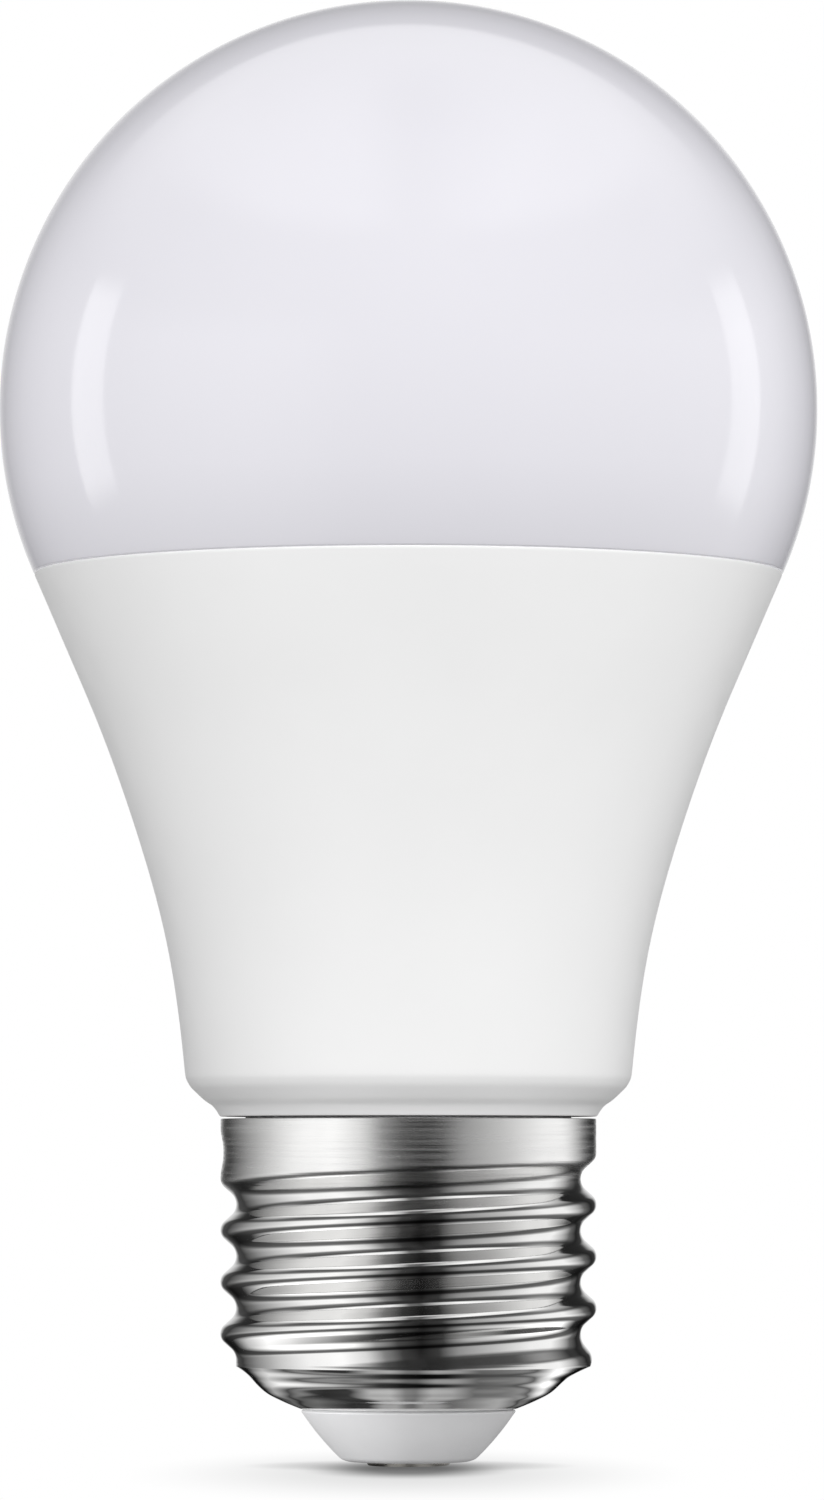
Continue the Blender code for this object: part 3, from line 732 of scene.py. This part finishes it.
globe = make_globe()
body = make_body()
make_cap()
insulator = make_insulator()
make_contact()

# --- Inner pieces, carried over from the frame ---------------------------------------------------

def plain(name, colour, roughness, metallic=0.0, grain_mm=0.35, depth_mm=0.004, variation=0.06):
    """Moulded or cast surface with a fine grain."""
    m = Material(name, colour, roughness, metallic)
    return m.finish(m.mottled(colour, variation), m.noise(grain_mm, detail=2.0), depth_mm)


def brushed(name, colour, roughness, stretch, line_mm=0.25, depth_mm=0.003, variation=0.04):
    """Rolled, drawn or turned metal, with fine lines along the working direction."""
    m = Material(name, colour, roughness, 1.0)
    lines = m.noise(line_mm, detail=4.0, stretch=stretch, roughness=0.6)
    return m.finish(m.mottled(colour, variation, 5.0), lines, depth_mm, wear=0.25)


def sintered(name, colour, roughness, grain_mm=0.12, depth_mm=0.012):
    """Pressed and fired grains, as on ferrite, some of them lightened by painted glints."""
    m = Material(name, colour, roughness)
    grains = m.node("ShaderNodeTexVoronoi", feature="F1")
    grains.inputs["Scale"].default_value = 1000.0 / grain_mm
    m.link(m.coordinates(), grains.inputs["Vector"])
    # Painted glints: grains picked at random are lightened part way to nearly twice the colour.
    painted_glint = m.remap(grains.outputs["Color"], 0.0, 0.5)
    grains_and_painted_glints = m.mix(painted_glint, m.mottled(colour, 0.10), shade(colour, 1.9))
    return m.finish(grains_and_painted_glints, grains.outputs["Distance"], depth_mm, wear=0.10)


def wound(name, colour, roughness, metallic, pitch_mm, depth_mm, painted_gap_shade=0.45, distortion=0.3):
    """Turns lying side by side round the vertical, with painted shade darkening the gaps between them."""
    m = Material(name, colour, roughness, metallic)
    turns = m.threads(pitch_mm, "Z", distortion)
    on_turn = m.remap(turns, 0.0, 1.0, 0.0, 0.35)
    # Painted shade: the colour darkens towards the gaps between turns.
    tone = m.mix(on_turn, shade(colour, painted_gap_shade), m.mottled(colour, 0.08, 2.0))
    return m.finish(tone, turns, depth_mm)


def laminate(name, colour, roughness, directions, mask_colour=None, pitch_mm=0.5):
    """Circuit board: crossed glass threads, under a solder mask where there is one."""
    m = Material(name, colour, roughness)
    crossed = m.math("ADD", *(m.threads(pitch_mm, direction, 0.4) for direction in directions))
    tone = m.mix(m.remap(crossed, 0.0, 1.0, 0.4, 1.6), shade(colour, 0.93), m.mottled(colour, 0.05))
    if mask_colour:
        tone = m.mix(m.remap(m.noise(2.4, detail=0.0), 0.0, 1.0, 0.52, 0.54), tone, mask_colour)
    return m.finish(tone, crossed, 0.003, wear=0.2)


def top_middle(node):
    """Middle of the node's top face, in millimetres."""
    low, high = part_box(node)
    return (low[0] + high[0]) / 2 / MM, (low[1] + high[1]) / 2 / MM, high[2] / MM


DIE_SPACING = 0.5
DIE_R = 0.18
TAB_START = 1.45
TAB_DEPTH = 0.45
TIN = (0.62, 0.61, 0.58)


def light_source(node, turn, face, lens_r, colours):
    """Surface-mount light: moulded frame, round window on top, solder tabs at the two ends.

    The window has the first colour, with a die of each other colour round its middle.
    """
    m = Material(node, face, 0.35)
    across, along, up = m.axes(top_middle(node), turn)
    top = m.above(up, -0.05)
    window = m.product(m.below(m.radius(across, along), lens_r), top)
    fill = m.mottled(colours[0], 0.08, 1.2)
    for number, colour in enumerate(colours[1:]):
        angle = FULL_TURN * number / len(colours[1:])
        die_x = m.math("SUBTRACT", across, DIE_SPACING * math.cos(angle) * MM)
        die_y = m.math("SUBTRACT", along, DIE_SPACING * math.sin(angle) * MM)
        fill = m.mix(m.below(m.radius(die_x, die_y), DIE_R), fill, colour)
    tabs = m.product(m.above(m.absolute(across), TAB_START), m.below(up, -TAB_DEPTH))
    tone = m.mix(window, m.mix(tabs, m.mottled(face, 0.03), TIN), fill)
    grain = m.math("ADD", m.noise(0.15, detail=2.0), m.product(window, -2.0))
    return m.finish(tone, grain, 0.02, wear=0.1, edge_mm=0.08)


STRIPE_SHARE = 0.3
ROLLED_EDGE = 0.9
VENT_SHARE = 0.62
VENT_HALF_WIDTH = 0.12


def can_sleeve(node):
    """Capacitor: shrunk dark sleeve with a pale stripe, and a bare aluminium top with its pressed vent,
    darkened by painted shade.
    """
    low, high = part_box(node)
    can_r = (high[0] - low[0]) / 2 / MM
    dark = (0.02, 0.025, 0.04)
    m = Material(f"{node}_sleeve", dark, 0.35)
    across, along, up = m.axes(top_middle(node))
    stripe = m.product(m.below(m.absolute(across), can_r * STRIPE_SHARE), m.above(along, 0.0))
    tone = m.mix(stripe, m.mottled(dark, 0.15), (0.42, 0.44, 0.47))
    from_axis = m.radius(across, along)
    top = m.product(m.above(up, -0.1), m.below(from_axis, can_r - ROLLED_EDGE))
    tone = m.mix(top, tone, m.mottled((0.70, 0.71, 0.72), 0.04, 2.0))
    arms = (m.below(m.absolute(axis), VENT_HALF_WIDTH) for axis in (across, along))
    groove = m.product(m.math("MAXIMUM", *arms), top)
    vent = m.product(groove, m.below(from_axis, can_r * VENT_SHARE))
    # Painted shade: the vent's pressed groove is darkened half way to dark grey.
    tone = m.mix(m.product(vent, 0.5), tone, (0.25, 0.25, 0.26))
    grain = m.math("SUBTRACT", m.noise(0.5), m.product(vent, 4.0))
    return m.finish(tone, grain, 0.01)


BAND_HALF_WIDTH = 0.22


def banded_resistor(name):
    """Lacquered body with five colour bands, at these heights."""
    lacquer = (0.28, 0.42, 0.42)
    m = Material(name, lacquer, 0.5)
    up = m.height()
    tone = m.mottled(lacquer, 0.06, 2.0)
    bands = (
        (17.9, (0.10, 0.04, 0.015)),
        (16.3, (0.02, 0.02, 0.02)),
        (15.5, (0.02, 0.02, 0.02)),
        (14.7, (0.50, 0.32, 0.04)),
        (13.1, (0.45, 0.02, 0.02)),
    )
    for centre, colour in bands:
        tone = m.mix(m.line(up, centre, BAND_HALF_WIDTH), tone, colour)
    return m.finish(tone, m.noise(0.3), 0.010)


AERIAL_PITCH = 1.6
AERIAL_TRACE = 0.5
AERIAL_HALF_WIDTH = 6.6
AERIAL_LOW_Z = 66.4
AERIAL_HIGH_Z = 70.8


def radio_board(name):
    """Dark solder mask with a plated meander aerial on the end under the globe.

    The aerial's bars stand side by side, joined in pairs at the top and, one bar further, at the bottom.
    """
    mask = (0.02, 0.05, 0.16)
    gold = (0.75, 0.52, 0.20)
    m = Material(name, mask, 0.4)
    across, _, up = m.axes()
    pitch = AERIAL_PITCH * MM
    joined = AERIAL_PITCH + AERIAL_TRACE
    along = m.math("ADD", across, 5 * pitch)
    bars = m.below(m.math("MODULO", along, pitch), AERIAL_TRACE)
    upper = m.below(m.math("MODULO", along, 2 * pitch), joined)
    lower = m.below(m.math("MODULO", m.math("ADD", along, pitch), 2 * pitch), joined)
    upper_level = m.band(up, AERIAL_HIGH_Z - AERIAL_TRACE, AERIAL_HIGH_Z)
    lower_level = m.band(up, AERIAL_LOW_Z, AERIAL_LOW_Z + AERIAL_TRACE)
    trace = m.product(bars, m.band(up, AERIAL_LOW_Z, AERIAL_HIGH_Z))
    trace = m.math("MAXIMUM", trace, m.product(upper, upper_level))
    trace = m.math("MAXIMUM", trace, m.product(lower, lower_level))
    trace = m.product(trace, m.below(m.absolute(across), AERIAL_HALF_WIDTH))
    m.link(trace, m.shader.inputs["Metallic"])
    tone = m.mix(trace, m.mottled(mask, 0.12, 3.0), gold)
    return m.finish(tone, m.math("ADD", m.noise(0.3, detail=2.0), trace), 0.02, wear=0.05)


def pin_header(name, groove_z, body_top_z):
    """Black moulded strip with a groove round it and plated pins standing out of it."""
    black = (0.03, 0.03, 0.03)
    m = Material(name, black, 0.5)
    up = m.height()
    pins = m.above(up, body_top_z)
    m.link(pins, m.shader.inputs["Metallic"])
    tone = m.mix(pins, m.mottled(black, 0.2, 3.0), (0.72, 0.60, 0.34))
    groove = m.product(m.line(up, groove_z, 0.1), -3.0)
    return m.finish(tone, m.math("ADD", m.noise(0.25, detail=2.0), groove), 0.01)


WHITE_LIGHTS = 12
COLOUR_LIGHTS = 4
PHOSPHOR = (0.85, 0.62, 0.12)
CLEAR_RESIN = (0.60, 0.62, 0.64)
RED_DIE = (0.45, 0.05, 0.03)
GREEN_DIE = (0.10, 0.35, 0.08)
BLUE_DIE = (0.04, 0.10, 0.45)


def paint_inner_pieces():
    """A finish for every CAD node that no visual piece replaces."""
    finishes = {
        "diffuser_adhesive": plain("silicone", (0.75, 0.75, 0.73), 0.6, grain_mm=0.8, depth_mm=0.02),
        "heat_sink_cup": brushed("pressed_aluminium", (0.78, 0.79, 0.80), 0.4, (1.0, 1.0, 0.05)),
        "thermal_pad": plain("thermal_silicone", (0.45, 0.52, 0.60), 0.8, grain_mm=0.2, depth_mm=0.02),
        "led_board": laminate(
            "white_solder_mask", (0.88, 0.88, 0.86), 0.4, ("X", "Y"), mask_colour=(0.84, 0.84, 0.82)
        ),
        "board_screw_1": brushed("screw_steel", (0.60, 0.60, 0.60), 0.3, (1.0, 1.0, 0.1), 0.15),
        "led_socket": plain("connector_plastic", (0.80, 0.78, 0.70), 0.5),
        "led_header": pin_header("led_header_plastic", 55.5, 56.83),
        "wireless_header": plain("header_plastic", (0.03, 0.03, 0.03), 0.5, variation=0.2),
        "wireless_board": radio_board("module_board"),
        "wireless_shield": brushed("shield_tin", (0.66, 0.66, 0.67), 0.3, (0.05, 1.0, 1.0)),
        "driver_sleeve": plain("sleeve_plastic", (0.70, 0.70, 0.68), 0.5, grain_mm=0.6, depth_mm=0.006),
        "driver_board": laminate("driver_laminate", (0.36, 0.24, 0.09), 0.6, ("X", "Z")),
        "input_capacitor": can_sleeve("input_capacitor"),
        "output_capacitor": can_sleeve("output_capacitor"),
        "transformer_core": sintered("ferrite", (0.05, 0.05, 0.055), 0.6),
        "transformer_bobbin": plain("bobbin_plastic", (0.04, 0.04, 0.045), 0.5, variation=0.15),
        "transformer_winding": wound(
            "winding_tape", (0.75, 0.55, 0.05), 0.4, 0.0, 3.3, 0.05, painted_gap_shade=0.8, distortion=0.0
        ),
        "choke_winding": wound("enamelled_copper", (0.45, 0.16, 0.06), 0.3, 1.0, 0.36, 0.15),
        "film_capacitor": plain("film_case", (0.60, 0.10, 0.05), 0.4, grain_mm=0.5, depth_mm=0.008),
        "varistor": plain("varistor_epoxy", (0.03, 0.12, 0.42), 0.45, grain_mm=1.2, depth_mm=0.03),
        "fusible_resistor": banded_resistor("resistor_lacquer"),
        "bridge_rectifier": plain("chip_epoxy", (0.03, 0.03, 0.03), 0.55, grain_mm=0.12, variation=0.15),
        "live_lead": plain("live_insulation", (0.50, 0.03, 0.03), 0.45, grain_mm=0.3),
        "neutral_lead": brushed("tinned_copper", (0.70, 0.68, 0.65), 0.3, (1.0, 1.0, 0.1), 0.1),
    }
    finishes["board_screw_2"] = finishes["board_screw_1"]
    finishes["choke_core"] = finishes["transformer_core"]
    finishes["driver_chip"] = finishes["bridge_rectifier"]
    for i in range(WHITE_LIGHTS):
        node = f"white_led_{i + 1:02d}"
        turn = FULL_TURN * (i + 0.5) / WHITE_LIGHTS
        finishes[node] = light_source(node, turn, (0.86, 0.86, 0.83), 1.15, [PHOSPHOR])
    colours = [CLEAR_RESIN, RED_DIE, GREEN_DIE, BLUE_DIE]
    for i in range(COLOUR_LIGHTS):
        node = f"colour_led_{i + 1}"
        finishes[node] = light_source(node, 0.0, (0.86, 0.86, 0.85), 1.35, colours)
    for node, material in finishes.items():
        paint_node(NODES[node], material)
    bare = [name for name, obj in NODES.items() if not obj.hide_render and name not in finishes]
    if bare:
        raise SystemExit(f"no finish for {bare}")


paint_inner_pieces()

# --- Stage ---------------------------------------------------------------------------------------

# The greys that surfaces see round them. Azimuths are in degrees: 0 towards the camera, rising to the
# right. Heights, and places to the side or the back, are components of a unit direction.

REFLECTED = (
    (-180, 0.90),
    (-170, 0.70),
    (-158, 0.08),
    (-144, 0.05),
    (-128, 0.20),
    (-105, 0.52),
    (-71, 1.10),
    (-45, 1.20),
    (-28, 0.85),
    (-16, 0.26),
    (-4, 0.05),
    (8, 0.012),
    (20, 0.04),
    (33, 0.32),
    (60, 0.62),
    (90, 1.06),
    (110, 1.10),
    (124, 0.60),
    (136, 0.15),
    (150, 0.02),
    (162, 0.05),
    (171, 0.70),
    (180, 0.90),
)
SOFT = (
    (-180, 0.30),
    (-110, 0.28),
    (-60, 1.16),
    (0, 2.32),
    (60, 1.50),
    (110, 0.50),
    (180, 0.30),
)
OVERHEAD_SOFT = 0.67
OVERHEAD_SOFT_UP = (0.5, 0.9)
HEIGHT_OF_REFLECTED = (
    (-1.0, 0.10),
    (-0.40, 0.25),
    (-0.20, 1.15),
    (-0.10, 1.00),
    (0.10, 1.00),
    (0.22, 1.10),
    (0.40, 0.20),
    (0.60, 0.08),
    (1.0, 0.08),
)
FAR_FROM_SOFTBOXES = 0.02
CEILING = (
    (-0.75, 0.80),
    (-0.50, 1.25),
    (-0.20, 1.10),
    (-0.10, 0.60),
    (-0.03, 0.18),
    (0.07, 0.12),
    (0.18, 0.50),
    (0.40, 1.20),
    (0.75, 1.00),
)
CEILING_UP = (0.66, 0.78)
CEILING_BACK = (0.60, 0.35)
OVERHEAD_PANEL = 1.10
PANEL_UP = (0.40, 0.85)
PANEL_BACK_EDGE = (0.69, 0.64)
PANEL_FRONT_EDGE = (-0.15, 0.45)


def make_world():
    """White to the camera; softboxes and dark flags round the object, as its surfaces reflect them."""
    world = bpy.data.worlds.new("studio")
    bpy.context.scene.world = world
    world.use_nodes = True
    n = Nodes(world.node_tree)
    n.tree.nodes.clear()
    side, back, up = n.split(n.node("ShaderNodeTexCoord").outputs["Generated"])
    share = n.azimuth(side, back)

    boxes = n.by_azimuth(share, REFLECTED)
    gloss = n.mix(n.by_component(up, HEIGHT_OF_REFLECTED), FAR_FROM_SOFTBOXES, boxes)
    above = n.product(n.between(up, *CEILING_UP), n.between(back, *CEILING_BACK))
    gloss = n.mix(above, gloss, n.by_component(side, CEILING))
    panel = n.product(n.between(up, *PANEL_UP), n.between(back, *PANEL_BACK_EDGE))
    panel = n.product(panel, n.between(back, *PANEL_FRONT_EDGE))
    gloss = n.mix(panel, gloss, OVERHEAD_PANEL)

    overhead = n.between(up, *OVERHEAD_SOFT_UP)
    soft = n.mix(overhead, n.by_azimuth(share, SOFT), OVERHEAD_SOFT)

    path = n.node("ShaderNodeLightPath")
    lit = n.mix(path.outputs["Is Glossy Ray"], soft, gloss)
    seen = n.mix(path.outputs["Is Camera Ray"], lit, 1.0)
    background = n.node("ShaderNodeBackground")
    n.link(seen, background.inputs["Color"])
    output = n.node("ShaderNodeOutputWorld")
    n.link(background.outputs["Background"], output.inputs["Surface"])


# The floor's greys, by distance from the axis in metres: BOUNCE lights the object, and MIRRORED_FLOOR
# is what its glossy surfaces reflect, times UNDER_DOME by azimuth near the axis and REFLECTED beyond.

FLOOR_HALF = 6.0
FLOOR_GAP = 0.00002
BOUNCE = ((0.0, 0.30), (0.03, 0.40), (0.09, 0.70), (1.0, 0.75))
MIRRORED_FLOOR = (
    (0.0, 0.30),
    (0.0045, 0.45),
    (0.0062, 0.75),
    (0.0072, 0.60),
    (0.0086, 0.90),
    (0.0100, 0.15),
    (0.0136, 0.10),
    (0.0154, 1.60),
    (0.0215, 1.45),
    (0.0250, 0.12),
    (0.0420, 0.15),
    (0.0700, 1.00),
)
UNDER_DOME = (
    (-180, 0.50),
    (-60, 0.06),
    (-40, 0.08),
    (-26, 0.75),
    (-12, 0.80),
    (-2, 0.36),
    (5, 0.30),
    (16, 0.70),
    (30, 0.65),
    (45, 0.30),
    (90, 0.60),
    (180, 0.50),
)
UNDER_DOME_EDGE = (0.0095, 0.0110)
CONTACT_REACH = 0.006
CONTACT_EDGE = (0.10, 0.90)
CONTACT_GREY = 0.62
DRAWN_SHADOWS = (  # centre along Y, half axes, soft edge as shares of the half axes, grey
    (-0.007, (0.0068, 0.017), (0.30, 1.15), 0.28),
    (-0.014, (0.017, 0.045), (0.10, 1.20), 0.76),
)


def outside_ellipse(n, vector, centre_y, half_axes, soft_edge):
    """0 inside an ellipse on the floor and 1 outside, soft between these shares of its size."""
    mapping = n.node("ShaderNodeMapping", vector_type="TEXTURE")
    mapping.inputs["Location"].default_value = (0.0, centre_y, 0.0)
    mapping.inputs["Scale"].default_value = (*half_axes, 1.0)
    n.link(vector, mapping.inputs["Vector"])
    return n.between(n.length(mapping.outputs["Vector"]), *soft_edge)


def floor_shadow(n, place):
    """The floor's grey to the camera, shaded under what stands close and in the drawn ellipses."""
    close = n.node("ShaderNodeAmbientOcclusion", samples=16)
    close.inputs["Distance"].default_value = CONTACT_REACH
    shadow = n.mix(n.between(close.outputs["AO"], *CONTACT_EDGE), CONTACT_GREY, 1.0)
    for centre_y, half_axes, soft_edge, grey in DRAWN_SHADOWS:
        outside = outside_ellipse(n, place, centre_y, half_axes, soft_edge)
        shadow = n.multiplied(shadow, n.mix(outside, grey, 1.0))
    return shadow


def make_floor():
    """White to the camera but for its shadow, with greys of its own for light and for reflections."""
    half = FLOOR_HALF
    corners = [(-half, -half, 0), (half, -half, 0), (half, half, 0), (-half, half, 0)]
    mesh = bpy.data.meshes.new("floor")
    mesh.from_pydata(corners, [], [(0, 1, 2, 3)])
    floor = new_object("floor", mesh)
    floor.location.z = -FLOOR_GAP
    made = bpy.data.materials.new("floor")
    made.use_nodes = True
    made.cycles.emission_sampling = "NONE"
    n = Nodes(made.node_tree)
    n.tree.nodes.clear()
    place = n.node("ShaderNodeTexCoord").outputs["Object"]
    from_axis = n.length(place)
    side, back, _ = n.split(place)
    share = n.azimuth(side, back)
    round_about = n.mix(
        n.between(from_axis, *UNDER_DOME_EDGE),
        n.by_azimuth(share, UNDER_DOME),
        n.by_azimuth(share, REFLECTED),
    )
    mirrored = n.multiplied(round_about, n.gradient(from_axis, MIRRORED_FLOOR))
    path = n.node("ShaderNodeLightPath")
    bounce = n.gradient(from_axis, BOUNCE)
    colour = n.mix(path.outputs["Is Glossy Ray"], bounce, mirrored)
    colour = n.mix(path.outputs["Is Camera Ray"], colour, floor_shadow(n, place))
    white = n.node("ShaderNodeEmission")
    n.link(colour, white.inputs["Color"])
    output = n.node("ShaderNodeOutputMaterial")
    n.link(white.outputs["Emission"], output.inputs["Surface"])
    paint(floor, made)


STRIP_DISTANCE = 0.22
STRIP_HEIGHT = 0.092
STRIP_SIZE = (0.052, 0.18)
STRIP_FADE = 0.16
STRIPS = (("left_strip", -95.5, 0.066), ("right_strip", 103, 0.046))
EDGE_DISTANCE = 0.4
EDGE_HEIGHT = 0.10
EDGE_TARGET = (0, 0, 0.08)
EDGE_SIZE = (0.3, 0.3)
EDGE_POWER = 0.45
EDGE_LIGHTS = (("left_edge_light", -132), ("right_edge_light", 132))
LOW_LEFT_PLACE = (-0.19, -0.06, 0.02)
LOW_LEFT_TARGET = (0, 0, 0.003)
LOW_LEFT_SIZE = (0.08, 0.05)
LOW_LEFT_POWER = 0.23
RIM_PLACE = (0, 0, 0.6)
RIM_TARGET = (0, 0, 0)
RIM_SIZE = (0.1, 0.1)
RIM_POWER = 1.0


def orbit(distance, degrees, height):
    """A place round the axis, at this azimuth."""
    turn = math.radians(degrees)
    return distance * math.sin(turn), -distance * math.cos(turn), height


def area_light(name, place, target, size, power, receiver):
    """A rectangular light that falls on its receiver only."""
    data = bpy.data.lights.new(name, "AREA")
    data.shape = "RECTANGLE"
    data.size, data.size_y = size
    data.energy = power
    light = new_object(name, data)
    light.location = place
    light.rotation_euler = (Vector(target) - Vector(place)).to_track_quat("-Z", "Y").to_euler()
    receivers = bpy.data.collections.new(f"{name}_receivers")
    receivers.objects.link(receiver)
    light.light_linking.receiver_collection = receivers
    return light


def fade_ends(light, share):
    """The light dims over this share of its length at both ends."""
    light.data.use_nodes = True
    n = Nodes(light.data.node_tree)
    along = n.split(n.node("ShaderNodeNewGeometry").outputs["Parametric"])[1]
    level = n.product(n.between(along, 0.0, share), n.between(along, 1.0, 1.0 - share))
    n.link(level, n.tree.nodes["Emission"].inputs["Strength"])


def make_lights():
    """The globe's two strips and its bright edges, the cone's left side and the housing's rim."""
    for name, degrees, power in STRIPS:
        place = orbit(STRIP_DISTANCE, degrees, STRIP_HEIGHT)
        strip = area_light(name, place, (0, 0, STRIP_HEIGHT), STRIP_SIZE, power, globe)
        fade_ends(strip, STRIP_FADE)
    for name, degrees in EDGE_LIGHTS:
        place = orbit(EDGE_DISTANCE, degrees, EDGE_HEIGHT)
        edge = area_light(name, place, EDGE_TARGET, EDGE_SIZE, EDGE_POWER, globe)
        edge.visible_glossy = False
    area_light(
        "low_left_softbox", LOW_LEFT_PLACE, LOW_LEFT_TARGET, LOW_LEFT_SIZE, LOW_LEFT_POWER, insulator
    )
    rim = area_light("rim_light", RIM_PLACE, RIM_TARGET, RIM_SIZE, RIM_POWER, body)
    rim.data.use_shadow = False


make_world()
make_floor()
make_lights()

view = bpy.context.scene.view_settings
view.view_transform = "Standard"
view.look = "None"
